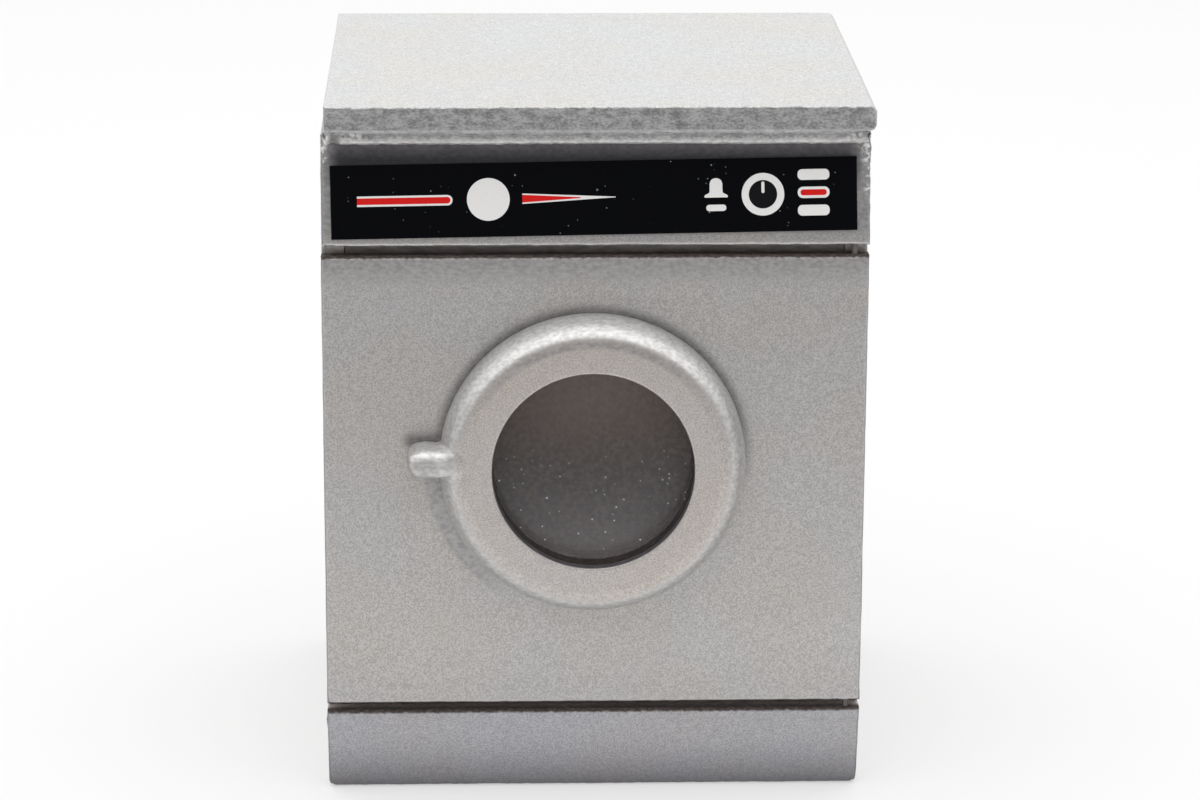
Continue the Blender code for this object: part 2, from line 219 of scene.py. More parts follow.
table_tree.links.new(table_shader.outputs["BSDF"], table_mix.inputs[1])
table_tree.links.new(glow.outputs["Emission"], table_mix.inputs[2])
table_output = table_tree.nodes["Material Output"]
table_tree.links.new(table_mix.outputs["Shader"], table_output.inputs["Surface"])
table.data.materials.append(table_finish)


# Lamp and surround. One large soft lamp hangs over the table and reaches out in front of the toy.
# The room is pale all round, but dim where the camera stands, as in the photograph. The lamp itself
# doesn't mirror in the paint, so the worktop keeps its grey from above. The room overhead does.
LAMP_PLACE = Vector((-0.05, -0.12, 0.72))
LAMP_WIDTH = 1.5
LAMP_REACH = 2.0
LAMP_WATTS = 13.6
SURROUND_STRENGTH = 0.4
DIM_IN_FRONT = 0.5
FRONT_SIDES = (0.3, 0.75)
FRONT_FOOT = (-0.1, 0.02)
FRONT_HEAD = (0.4, 0.65)
OVERHEAD = (0.4, 0.8)
OVERHEAD_GLOW = 0.45

bpy.ops.object.light_add(type="AREA", location=LAMP_PLACE)
lamp = bpy.context.object
lamp.name = "lamp_above"
lamp.data.shape = "RECTANGLE"
lamp.data.size = LAMP_WIDTH
lamp.data.size_y = LAMP_REACH
lamp.data.energy = LAMP_WATTS
lamp.visible_glossy = False

surround = bpy.data.worlds.new("surround")
surround.use_nodes = True
bpy.context.scene.world = surround
room = surround.node_tree
direction_node = room.nodes.new("ShaderNodeTexCoord")
_, away, upward = Value(room, direction_node.outputs["Generated"]).axes()
in_front = (0 - away).rise(*FRONT_SIDES) * upward.rise(*FRONT_FOOT) * (1 - upward.rise(*FRONT_HEAD))
seen, mirrored = ray_kinds(room)
pale = mirrored * (1 - SURROUND_STRENGTH) + SURROUND_STRENGTH
feed(room.nodes["Background"], "Color", (1, 1, 1, 1))
glow_above = mirrored * upward.rise(*OVERHEAD) * OVERHEAD_GLOW
feed(room.nodes["Background"], "Strength", seen.over(pale * (1 - in_front * DIM_IN_FRONT) + glow_above))


# Side panels. Thin fibre board, its front edge sawn on a slant at top and bottom, sprayed silver
# outside and bare inside. Spray settled on the front edge too, and the pale colour that it has
# there is painted light, so that it shows pale in the gaps.
SILVER = (0.444, 0.432, 0.431)
SILVER_WARM = (0.447, 0.427, 0.412)
# A paler silver: thick paint and glue on the underlay, and a painted highlight on lower arrises.
SILVER_THICK_AND_HIGHLIGHT = (0.61, 0.6, 0.595)
# The next four silvers, each darker than the last, are painted shade and painted shadow.
SILVER_HALF_SHADED = (0.36, 0.35, 0.345)
SILVER_SHADED = (0.22, 0.21, 0.21)
SILVER_IN_SHADOW = (0.165, 0.155, 0.168)
SILVER_IN_DEEP_SHADOW = (0.036, 0.035, 0.039)
# Pale flecks on rough lumps of paint: painted glints.
PAINT_GLINT = (0.82, 0.82, 0.81)
# Spray on cut front edges, paler than the silver itself: overspray with painted light in the gaps.
OVERSPRAY_LIT = (0.66, 0.6, 0.58)
SAWN_DARK = (0.2, 0.2, 0.2)
SAWN_PALE = (0.46, 0.46, 0.46)
BARE_BOARD = (0.25, 0.155, 0.085)
BARE_BOARD_DARK = (0.15, 0.09, 0.05)
SOOT = (0.014, 0.01, 0.009)
CHARRED = (0.045, 0.034, 0.031)
CHARRED_PALE = (0.1, 0.08, 0.073)
PAINT_METALLIC = 0.6
PAINT_ROUGHNESS = 0.34
PAINT_ROUGHER = 0.08
SAWN_ROUGHER = 0.15
BARE_ROUGHNESS = 0.88
PAINT_RELIEF = 0.05 * MM
WARM_SIZE = 13 * MM
PAINT_FINE = 0.17 * MM
PAINT_COARSE = 0.7 * MM
PAINT_COARSE_SHARE = 0.15
SPECKLE_RISE = (0.36, 0.64)
PAINT_DARKER = (0.8, 0.8, 0.8)
PAINT_LIGHTER = (1.18, 1.18, 1.18)
TONE_SPREAD = 0.16
RAGGED_SIZE = 0.6 * MM
RAGGED_DEPTH = 0.4 * MM
ARRIS = 0.35 * MM
SAWN_UPPER = 0.35 * MM
SAWN_LOWER = 0.42 * MM
KEEN_ARRIS = 0.14 * MM
FINE_ARRIS = 0.06 * MM
ARRIS_SEGMENTS = 4
EDGE_ROWS = (0.3 * MM, 0.5 * MM, 0.75 * MM, 1.1 * MM, 1.6 * MM)
FINE_STEP = 0.36 * MM
BROAD_STEP = 1.3 * MM
MOST_CUTS = 100
BEAD_REACH = 0.8 * MM
BEAD_DEPTH = 1.2 * MM
BEAD_HEIGHT = 0.035 * MM
WAVE_HEIGHT = 0.03 * MM
WAVE_SIZE = 9 * MM
SEED_STEP = Vector((7.1, 3.3, 5.7))
LUMP_SIZE = 0.8 * MM
SMALL_LUMP_SIZE = 0.4 * MM
SMALL_LUMP_SHARE = 0.6
BEAD_LEAST = 0.2
BEAD_LUMPY = 1.7
FACING_FRONT = -0.4
FIBRE_LENGTH = 0.9 * MM
FIBRE_WIDTH = 0.4 * MM
FIBRE_SUNK = 0.4
SPOT_GRAIN = 0.5 * MM
SPOT_LEAST = 0.1
SPOT_ROUGH = 1.5
CROWN_SIDES = (0.07 * MM, 1.4 * MM)
CROWN_LOWER = (0.14 * MM, 0.95 * MM)
CROWN_UPPER = (0.09 * MM, 1.6 * MM)
SMOOTH_ANGLE = math.radians(50)


def choose(kind, wanted):
    """In edit mode, select only the edges or faces that a test picks by their place."""
    bpy.ops.mesh.select_mode(type="FACE" if kind == "faces" else "EDGE")
    shape = bmesh.from_edit_mesh(bpy.context.edit_object.data)
    for item in [*shape.faces, *shape.edges, *shape.verts]:
        item.select = False
    for item in [item for item in getattr(shape, kind) if wanted(item)]:
        item.select_set(True)
    bmesh.update_edit_mesh(bpy.context.edit_object.data)


def apply_modifier(piece, kind, **settings):
    """Add one modifier to a piece and apply it."""
    bpy.ops.object.select_all(action="DESELECT")
    piece.select_set(True)
    bpy.context.view_layer.objects.active = piece
    step = piece.modifiers.new(kind.lower(), kind)
    for name, setting in settings.items():
        setattr(step, name, setting)
    bpy.ops.object.modifier_apply(modifier=step.name)


def block(name, low, high, rounding):
    """A board between two corners, each edge rounded as asked, left open in edit mode.

    The rounding is asked for with the side that each edge lies on: -1, 0 or 1 along X, Y and Z.
    """
    bpy.ops.object.select_all(action="DESELECT")
    bpy.ops.mesh.primitive_cube_add(size=1, location=(low + high) / 2)
    piece = bpy.context.object
    piece.scale = high - low
    bpy.ops.object.transform_apply(location=True, rotation=True, scale=True)
    piece.name = name
    piece.data.name = name
    middle = (low + high) / 2
    reach = (high - low) / 4
    widths = []
    for edge in piece.data.edges:
        start, end = (piece.data.vertices[i].co for i in edge.vertices)
        offset = (start + end) / 2 - middle
        widths.append(rounding(*[(value > limit) - (value < -limit) for value, limit in zip(offset, reach)]))
    weights = piece.data.attributes.new("bevel_weight_edge", "FLOAT", "EDGE")
    for item, width in zip(weights.data, widths):
        item.value = width / max(widths)
    apply_modifier(piece, "BEVEL", width=max(widths), segments=ARRIS_SEGMENTS, limit_method="WEIGHT",
                   use_clamp_overlap=True)
    bpy.ops.object.mode_set(mode="EDIT")
    return piece


def slice_along(axis, step):
    """Cut the long edges that run along one axis into lengths of about the given step."""
    def span(edge):
        return abs((edge.verts[1].co - edge.verts[0].co)[axis])

    shape = bmesh.from_edit_mesh(bpy.context.edit_object.data)
    longest = max(span(edge) for edge in shape.edges)
    parts = math.ceil(longest / step)
    if parts < 2:
        return
    choose("edges", lambda edge: span(edge) > longest * 0.9)
    if parts > MOST_CUTS:
        bpy.ops.mesh.subdivide(number_cuts=1)
        slice_along(axis, step)
    else:
        bpy.ops.mesh.subdivide(number_cuts=parts - 1)


def gridded(low, high, steps):
    """Rows of points close together near the arrises and at the given steps elsewhere."""
    for axis, step in enumerate(steps):
        square = [float(axis == i) for i in range(3)]
        for reach in EDGE_ROWS:
            if high[axis] - low[axis] > 3 * reach:
                for place in (low[axis] + reach, high[axis] - reach):
                    bpy.ops.mesh.select_all(action="SELECT")
                    bpy.ops.mesh.bisect(plane_co=[place * i for i in square], plane_no=square)
        slice_along(axis, step)


def sculpted(piece, low, high, seed, bead=BEAD_HEIGHT, bead_depth=BEAD_DEPTH, wave=WAVE_HEIGHT,
             lower=CROWN_LOWER, crowned=True, torn=0, spots=()):
    """Beads of paint along the front arrises, slow waves, and a front face that falls away a
    little towards its arrises, most of all towards the lower one.

    A torn piece also has a fibrous front. Spots are places, reaches and heights of rough lumps,
    where paint and wood fibre have gathered. Nothing reaches below the table.
    """
    bpy.ops.object.mode_set(mode="OBJECT")
    drift = SEED_STEP * seed
    points = [v.co.copy() for v in piece.data.vertices]
    normals = [v.normal.copy() for v in piece.data.vertices]
    for vert, point, normal in zip(piece.data.vertices, points, normals):
        depths = sorted(min(point[i] - low[i], high[i] - point[i]) for i in range(3))
        front = max(0, 1 - (point.y - low.y) / bead_depth) if bead_depth else 1
        near = max(0, 1 - depths[1] / BEAD_REACH) * min(1, 2 * front)
        worn = 0
        if crowned and normal.y < 0:
            sides = min(point.x - low.x, high.x - point.x)
            for edge, (fall, reach) in ((sides, CROWN_SIDES), (point.z - low.z, lower),
                                        (high.z - point.z, CROWN_UPPER)):
                worn += fall * max(0, 1 - edge / reach) ** 2
        lumps = noise.noise(point / LUMP_SIZE + drift)
        lumps += SMALL_LUMP_SHARE * noise.noise(point / SMALL_LUMP_SIZE + drift)
        slow = noise.noise(point / WAVE_SIZE + drift)
        move = bead * near * (BEAD_LEAST + BEAD_LUMPY * lumps) + wave * slow - worn * min(1, 2 * front)
        if torn and normal.y < FACING_FRONT:
            fibres = noise.noise(Vector((point.x / FIBRE_LENGTH, 0, point.z / FIBRE_WIDTH)) + drift)
            move += torn * (fibres - FIBRE_SUNK)
        for place, reach, height in spots:
            close = max(0, 1 - (point - place).length / reach)
            rough = noise.noise(point / SPOT_GRAIN + drift * 2)
            move += height * min(1, 2 * close) * (SPOT_LEAST + SPOT_ROUGH * rough)
        vert.co = point + normal * move
        vert.co.z = max(vert.co.z, 0)
    bpy.ops.object.shade_smooth_by_angle(angle=SMOOTH_ANGLE)


def paler(colour, share):
    """A colour times a share, and never past white."""
    return tuple(min(1, part * share) for part in colour)


def sprayed(name, colour=SILVER, bare=(), charred=(), tones=(), sawn=(), beads_and_glints=(), hole=None):
    """Silver spray paint over board.

    Bare, charred and sawn stretches are lists of products of rises along X, Y, Z or the distance R
    from the middle of the window hole. Tones are other colours over a stretch that fades in
    smoothly, most of them painted shade, painted shadow or painted highlights. Beads lie within
    reach of a few places, each with its own colour: paint gathered in lumps, and painted glints.
    """
    made, shader, place = new_finish(name)
    parts = dict(zip("xyz", place.axes()))
    if hole:
        side, height = parts["x"] - hole.x, parts["z"] - hole.z
        parts["r"] = (side * side + height * height).maths("SQRT", side * side + height * height)
    ragged = (place.grain(RAGGED_SIZE, 4.0) - 0.5) * RAGGED_DEPTH

    def covered(stretches, rough=True):
        total = None
        for stretch in stretches:
            product = None
            for axis, start, end in stretch:
                along = parts[axis] + ragged if rough else parts[axis]
                rising = along.rise(start, end)
                product = product * rising if product else rising
            total = total.over(product) if total else product
        return total

    warm = [part * warmer / plain for part, warmer, plain in zip(colour, SILVER_WARM, SILVER)]
    base = place.grain(WARM_SIZE, 1.0).rise(0.35, 0.65).tint(colour, warm)
    fine = place.grain(PAINT_FINE, 2.0)
    coarse = place.grain(PAINT_COARSE, 2.0)
    speckle = fine * (1 - PAINT_COARSE_SHARE) + coarse * PAINT_COARSE_SHARE
    shade = speckle.rise(*SPECKLE_RISE).tint(PAINT_DARKER, PAINT_LIGHTER)
    blend = {"data_type": "RGBA", "blend_type": "MULTIPLY"}
    surface = place.node("ShaderNodeMix", blend, {0: 1.0, 6: base, 7: shade}, 2)
    painted = None
    height = fine * 0.6 + place.grain(0.9 * MM, 2.0) * 0.5
    rough = PAINT_ROUGHNESS + fine * PAINT_ROUGHER
    if sawn:
        cut = covered(sawn)
        fibres = (place.grain(0.2 * MM, 3.0, (0.6, 1, 1)) * 0.5
                  + place.grain(0.8 * MM, 2.0, (0.5, 1, 1)) * 0.5)
        surface = cut.tint(surface, fibres.rise(0.34, 0.66).tint(SAWN_DARK, SAWN_PALE))
        height = height + cut * fibres
        rough = rough + cut * SAWN_ROUGHER
    for tone, stretch in tones:
        patchy = place.grain(0.4 * MM, 3.0, (0.6, 1, 1)).rise(0.3, 0.7)
        patchy = patchy.tint(paler(tone, 1 - TONE_SPREAD), paler(tone, 1 + TONE_SPREAD))
        surface = covered([stretch], rough=False).tint(surface, patchy)
    for spot, reach, lump_colour in beads_and_glints:
        distance = place.node("ShaderNodeVectorMath", {"operation": "DISTANCE"}, {0: place, 1: spot}, 1)
        bead = place.grain(0.5 * MM, 1.5).rise(0.46, 0.62) * distance.rise(reach, 0.3 * reach)
        surface = bead.tint(surface, lump_colour)
    for stretches, dark, light_colour in ((bare, BARE_BOARD_DARK, BARE_BOARD),
                                          (charred, CHARRED, CHARRED_PALE)):
        if stretches:
            there = covered(stretches)
            fibres = place.grain(0.5 * MM, 4.0)
            surface = there.tint(surface, fibres.rise(0.38, 0.66).tint(dark, light_colour))
            left = 1 - there
            painted = painted * left if painted else left
    feed(shader, "Base Color", surface)
    feed(shader, "Metallic", painted * PAINT_METALLIC if painted else PAINT_METALLIC)
    if painted:
        rough = painted * (rough - BARE_ROUGHNESS) + BARE_ROUGHNESS
    feed(shader, "Roughness", rough)
    relief(shader, place, height, PAINT_RELIEF)
    return made


def place_piece(piece, body, slot, finish, *nodes):
    """Give a piece its finish, let it ride on its body, and let it stand for its nodes."""
    piece.data.materials.append(finish)
    if nodes:
        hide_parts(*nodes)
    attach(piece, body)


kick_low, kick_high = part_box("kick_board")
control_low, control_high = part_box("control_board")
GAP_CORNER = 0.9 * MM

for side_name, outward in (("left_side", -1), ("right_side", 1)):
    side_low, side_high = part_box(side_name)
    panel = block("panel_" + side_name, side_low, side_high,
                  lambda x, y, z: ARRIS if x == outward and z == 0 and y > 0 else FINE_ARRIS)
    gridded(side_low, side_high, (FINE_STEP, BROAD_STEP, BROAD_STEP))
    sculpted(panel, side_low, side_high, seed=outward, crowned=False)
    side_points = [v.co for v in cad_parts[side_name].data.vertices]
    foot_y = min(point.y for point in side_points if point.z < side_low.z + ARRIS)
    head_y = min(point.y for point in side_points if point.z > side_high.z - ARRIS)
    for vert in panel.data.vertices:
        front_share = (side_high.y - vert.co.y) / (side_high.y - side_low.y)
        below = max(0, kick_high.z - vert.co.z) / (kick_high.z - side_low.z)
        above = max(0, vert.co.z - control_low.z) / (side_high.z - control_low.z)
        vert.co.y += ((foot_y - side_low.y) * below + (head_y - side_low.y) * above) * front_share
    inner_x = side_high.x if outward < 0 else side_low.x
    outer_x = side_low.x if outward < 0 else side_high.x
    inner_face = [("x", inner_x + outward * 0.5 * MM, inner_x + outward * 0.2 * MM),
                  ("y", side_low.y + 0.5 * MM, side_low.y + 1.2 * MM)]
    # The front edge in the gaps: pale spray with painted light.
    gap_face = [("x", outer_x - outward * 0.5 * GAP_CORNER, outer_x - outward * GAP_CORNER),
                ("y", side_low.y + 1.2 * MM, side_low.y + 0.5 * MM)]
    place_piece(panel, "carcass", "silver_board",
                sprayed("sprayed_" + side_name, bare=[inner_face], tones=[(OVERSPRAY_LIT, gap_face)]), side_name)


# Back panel. One plain board that covers the back edges of both sides, sprayed outside only.
back_low, back_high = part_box("back_panel")
back = block("panel_back", back_low, back_high,
             lambda x, y, z: ARRIS if y > 0 and z == 0 else FINE_ARRIS)
gridded(back_low, back_high, (BROAD_STEP, FINE_STEP, BROAD_STEP))
sculpted(back, back_low, back_high, seed=3, crowned=False)
back_inner = [("y", back_low.y + 0.5 * MM, back_low.y + 0.2 * MM)]
place_piece(back, "carcass", "silver_board", sprayed("sprayed_back", bare=[back_inner]), "back_panel")


# Compartment floor and ceiling. Bare brown fibre board, whose front edges were burnt dark by the
# cutter. They show through the two gaps of the front, and inside when the door is open. Spray
# settled on those edges, and its pale colour there is painted light in the gaps.
RAW_ROUGHNESS = 0.82
RAW_RELIEF = 0.04 * MM
OVERSPRAY_THIN = 0.6


def raw_board(name, front):
    """Bare fibre board with a burnt front edge, on which some spray has settled, pale with painted light."""
    made, shader, place = new_finish(name)
    depth = place.axes()[1]
    fibres = place.grain(0.6 * MM, 4.0)
    streaks = place.grain(0.35 * MM, 3.0, (0.2, 1, 1))
    burnt = (depth + (fibres - 0.5) * (0.3 * MM)).rise(front + 0.9 * MM, front + 0.2 * MM)
    bare = fibres.rise(0.35, 0.65).tint(BARE_BOARD_DARK, BARE_BOARD)
    dark = streaks.rise(0.3, 0.7).tint(paler(OVERSPRAY_LIT, OVERSPRAY_THIN), OVERSPRAY_LIT)
    feed(shader, "Base Color", burnt.tint(bare, dark))
    feed(shader, "Roughness", fibres * 0.1 + RAW_ROUGHNESS)
    relief(shader, place, fibres + streaks, RAW_RELIEF)
    return made


def refinish(node, finish):
    """A new finish on a CAD node whose own shape is right."""
    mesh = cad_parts[node].data
    mesh.materials.clear()
    mesh.materials.append(finish)


for shelf in ("compartment_floor", "compartment_ceiling"):
    refinish(shelf, raw_board("bare_" + shelf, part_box(shelf)[0].y))


# Kick board. A low board that leans in towards the table, its two lower corners sanded round and
# its top edge burnt dark where it faces the gap under the door. It grows darker towards the table,
# as painted shade, and behind the burnt front of its top it takes pale spray with painted light.
SAME_PLACE = 0.01 * MM
KICK_CORNER = 0.85 * MM
KICK_SILVER = (0.352, 0.35, 0.37)
KICK_SHADE = (0.1, 0.095, 0.105)


def front_rounding(x, y, z):
    """A front board's front edges are worn round, and its back edges are sharp."""
    if y >= 0:
        return FINE_ARRIS
    return (SAWN_LOWER, ARRIS, SAWN_UPPER)[z + 1]


def upright_board(node):
    """The box of a leaning board stood upright, and how far its face goes back with each step up."""
    points = [v.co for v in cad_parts[node].data.vertices]
    low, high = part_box(node)
    foot = min(point.y for point in points if point.z < low.z + SAME_PLACE)
    head = min(point.y for point in points if point.z > high.z - SAME_PLACE)
    foot_back = max(point.y for point in points if point.z < low.z + SAME_PLACE)
    slope = (head - foot) / (high.z - low.z)
    return Vector((low.x, foot, low.z)), Vector((high.x, foot_back, high.z)), slope


def lean_over(piece, foot, slope):
    """Lean an upright board by a slope, from a foot height up."""
    for vert in piece.data.vertices:
        vert.co.y += (vert.co.z - foot) * slope


def burnt_edge(low, high, above, front):
    """The upper or lower edge face of a front board, behind its painted arris."""
    if above:
        return [("z", high.z - 0.42 * MM, high.z - 0.13 * MM), ("y", front - 0.08 * MM, front + 0.15 * MM)]
    return [("z", low.z + 0.12 * MM, low.z), ("y", front + 0.45 * MM, front + 0.8 * MM)]


def lit_lower_arris(low):
    """A painted highlight along the lower arris of a front board."""
    return SILVER_THICK_AND_HIGHLIGHT, [("z", low.z + 0.6 * MM, low.z + 0.1 * MM)]


kick_stand_low, kick_stand_high, kick_slope = upright_board("kick_board")
kick = block("board_kick", kick_stand_low, kick_stand_high, front_rounding)
gridded(kick_stand_low, kick_stand_high, (FINE_STEP, FINE_STEP, FINE_STEP))
sculpted(kick, kick_stand_low, kick_stand_high, seed=5, spots=[
    (Vector((kick_low.x + 54 * MM, kick_stand_low.y, kick_high.z)), 2.2 * MM, 0.08 * MM),
    (Vector((kick_low.x, kick_stand_low.y, kick_high.z - 1.3 * MM)), 1.2 * MM, 0.12 * MM)])
for vert in kick.data.vertices:
    for corner_x, inward in ((kick_stand_low.x, 1), (kick_stand_high.x, -1)):
        from_side = (vert.co.x - corner_x) * inward
        from_foot = vert.co.z - kick_stand_low.z
        if from_side < KICK_CORNER and from_foot < KICK_CORNER:
            offset = Vector((from_side - KICK_CORNER, from_foot - KICK_CORNER))
            square = max(abs(offset.x), abs(offset.y))
            if offset.length > 0:
                offset *= square / offset.length
                vert.co.x = corner_x + inward * (KICK_CORNER + offset.x)
                vert.co.z = kick_stand_low.z + KICK_CORNER + offset.y
lean_over(kick, kick_low.z, kick_slope)
place_piece(kick, "carcass", "silver_board", sprayed(
    "sprayed_kick", colour=KICK_SILVER,
    charred=[[*burnt_edge(kick_low, kick_high, True, kick_low.y),
              ("y", kick_low.y + 2 * MM, kick_low.y + 0.7 * MM)]],
    # Painted shade towards the table, and pale spray with painted light on the top behind its front.
    tones=[(KICK_SHADE, [("z", kick_low.z + 7.5 * MM, kick_low.z - 3.5 * MM)]),
           (OVERSPRAY_LIT, [("z", kick_high.z - 0.4 * MM, kick_high.z - 0.1 * MM),
                        ("y", kick_low.y + 0.7 * MM, kick_low.y + 1.6 * MM)])]), "kick_board")


# Control board. It leans back under the worktop. Its silver is painted darker than the door's, as
# shade, and darker again above the label, as a painted shadow of the worktop. Its lower edge is
# burnt, with a painted highlight along its arris, and its upper corners are the roughest on the
# toy, with lumps of paint whose glints are painted as pale flecks.
CONTROL_SHIFT = Vector((0.2, 0, 0)) * MM
CONTROL_SPARE = Vector((0.04, 0, 0)) * MM
EDGE_SPARE = Vector((0, 0, 0.18)) * MM
# Darker copies of the silver: painted shade on a board that leans back from the light.
CONTROL_SILVER_SHADED = (0.378, 0.368, 0.365)
CONTROL_SHADE = (0.318, 0.31, 0.308)
CORNER_RISE = 0.4 * MM
CORNER_REACH = 1.3 * MM

control_stand_low, control_stand_high, control_slope = upright_board("control_board")
control_stand_low += CONTROL_SHIFT - EDGE_SPARE
control_stand_high += CONTROL_SPARE
control = block("board_control", control_stand_low, control_stand_high, front_rounding)
gridded(control_stand_low, control_stand_high, (FINE_STEP, FINE_STEP, FINE_STEP))
sculpted(control, control_stand_low, control_stand_high, seed=8, bead=0.05 * MM, spots=[
    (Vector((control_low.x, control_stand_low.y, control_high.z - 0.6 * MM)), 1.8 * MM, 0.12 * MM),
    (Vector((control_high.x, control_stand_low.y, control_high.z - 1.2 * MM)), 2.6 * MM, 0.15 * MM)])
for vert in control.data.vertices:
    from_side = min(vert.co.x - control_stand_low.x, control_stand_high.x - vert.co.x)
    from_top = control_stand_high.z - vert.co.z
    close = max(0, 1 - from_side / CORNER_REACH) * max(0, 1 - from_top / CORNER_REACH)
    vert.co.z += CORNER_RISE * close * (0.8 + noise.noise(vert.co / (0.6 * MM)))
lean_over(control, control_low.z, control_slope)
label_low, label_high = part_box("control_label")
above_label = [("x", label_high.x + 1.0 * MM, label_high.x - 1.4 * MM),
               ("x", label_low.x - 1.0 * MM, label_low.x + 1.4 * MM)]
# Pale flecks on the lumps at the upper corners: painted glints.
corner_glints = [(Vector((x, control_low.y + (control_high.z - down - control_low.z) * control_slope,
                 control_high.z - down)), reach, PAINT_GLINT)
        for x, down, reach in ((control_low.x, 0.5 * MM, 1.3 * MM), (control_low.x, 1.8 * MM, 1.1 * MM),
                               (control_high.x, 0.4 * MM, 1.7 * MM), (control_high.x, 2.0 * MM, 1.3 * MM),
                               (control_high.x, 3.6 * MM, 1.1 * MM), (control_high.x, 5.4 * MM, 0.9 * MM))]
place_piece(control, "carcass", "silver_board", sprayed(
    "sprayed_control", colour=CONTROL_SILVER_SHADED,
    charred=[burnt_edge(control_stand_low, control_high, False, control_low.y)],
    # Painted highlight on the lower arris, painted shade on the face, painted shadow under the worktop.
    tones=[lit_lower_arris(control_stand_low),
           (CONTROL_SHADE, [("z", control_low.z + 0.8 * MM, control_low.z + 2.0 * MM)]),
           (SILVER_IN_SHADOW, [("z", control_high.z - 5 * MM, control_high.z - 3.2 * MM), *above_label]),
           (SILVER_IN_DEEP_SHADOW, [("z", label_high.z + 1.5 * MM, label_high.z - 0.4 * MM),
                           ("z", label_high.z - 4 * MM, label_high.z - 2 * MM), *above_label])],
    beads_and_glints=corner_glints), "control_board")


# Control label. A black printed film stuck on slightly askew, with plain white and red marks, and
# a little dust on it. The round mark at the right holds a plain pointer dial.
PRINT_LIFT = 0.01 * MM
PRINT_WHITE = (0.82, 0.81, 0.8)
PRINT_RED = (0.66, 0.012, 0.01)
FILM_BLACK = (0.0022, 0.0024, 0.0034)
DUST = (0.2, 0.21, 0.22)
DUST_PALE = (0.9, 0.9, 0.88)

film_finish, film_shader, film_place = new_finish("label_film")
crowded = film_place.grain(3.5 * MM, 1.0).rise(0.54, 0.64)
speck = (film_place.specks(1.0 * MM, 0.08 * MM) * crowded).over(film_place.specks(4.3 * MM, 0.12 * MM))
feed(film_shader, "Base Color", speck.tint(FILM_BLACK, DUST))
feed(film_shader, "Roughness", film_place.grain(1.2 * MM, 3.0) * 0.15 + 0.24)
feed(film_shader, "Specular IOR Level", 0.04)
refinish("control_label", film_finish)

film_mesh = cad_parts["control_label"].data
film_front = max(film_mesh.polygons, key=lambda face: face.area if face.normal.y < 0 else 0)
out_axis = film_front.normal.copy()
film_points = sorted({tuple(v.co) for v in film_mesh.vertices
                      if (v.co - film_front.center).dot(out_axis) > -SAME_PLACE})
film_corners = [Vector(point) for point in film_points]
across_axis = (film_corners[-1] + film_corners[-2] - film_corners[0] - film_corners[1]).normalized()
up_axis = out_axis.cross(across_axis)
film_middle = sum(film_corners, Vector()) / len(film_corners)
film_turn = Matrix((across_axis, up_axis, out_axis)).transposed().to_4x4()
film_matrix = Matrix.Translation(film_middle) @ film_turn


def printed(outline, layer=1):
    """A printed mark from its outline, in millimetres from the middle of the label."""
    bpy.ops.object.select_all(action="DESELECT")
    bpy.ops.mesh.primitive_circle_add(vertices=len(outline), radius=1, fill_type="NGON")
    mark = bpy.context.object
    for vert, (x, y) in zip(mark.data.vertices, outline):
        vert.co = Vector((x, y, 0)) * MM
    bpy.ops.object.mode_set(mode="EDIT")
    bpy.ops.mesh.select_all(action="SELECT")
    bpy.ops.mesh.extrude_region_move(TRANSFORM_OT_translate={"value": (0, 0, layer * PRINT_LIFT)})
    bpy.ops.mesh.select_all(action="SELECT")
    bpy.ops.mesh.normals_make_consistent(inside=False)
    bpy.ops.object.mode_set(mode="OBJECT")
    return mark


def bar(left, right, bottom, top, left_round, right_round):
    """Outline of a bar whose left and right corners are rounded by their own radii."""
    points = []
    corners = ((right, bottom, -1, 1, 3, right_round), (right, top, -1, -1, 0, right_round),
               (left, top, 1, -1, 1, left_round), (left, bottom, 1, 1, 2, left_round))
    for x, y, inward_x, inward_y, quarter, radius in corners:
        steps = 8 if radius else 0
        for step in range(steps + 1):
            angle = math.pi / 2 * (quarter + step / max(steps, 1))
            points.append((x + inward_x * radius + radius * math.cos(angle),
                           y + inward_y * radius + radius * math.sin(angle)))
    return points


def disc(x, y, radius):
    """Outline of a round spot."""
    return [(x + radius * math.cos(math.tau * i / 64), y + radius * math.sin(math.tau * i / 64))
            for i in range(64)]


def print_layer(name, marks, colour):
    """Join marks of one colour and lay them on the label."""
    bpy.ops.object.select_all(action="DESELECT")
    for mark in marks:
        mark.select_set(True)
    bpy.context.view_layer.objects.active = marks[0]
    if len(marks) > 1:
        bpy.ops.object.join()
    layer = bpy.context.object
    layer.name = name
    layer.data.name = name
    layer.matrix_world = film_matrix
    bpy.ops.object.transform_apply(location=True, rotation=True, scale=True)
    ink, ink_shader, ink_place = new_finish("ink_" + name)
    patchy = ink_place.grain(0.3 * MM, 3.0)
    feed(ink_shader, "Base Color", patchy.tint(paler(colour, 0.92), colour))
    feed(ink_shader, "Roughness", patchy * 0.1 + 0.4)
    feed(ink_shader, "Specular IOR Level", 0.15)
    place_piece(layer, "carcass", "label_film", ink)


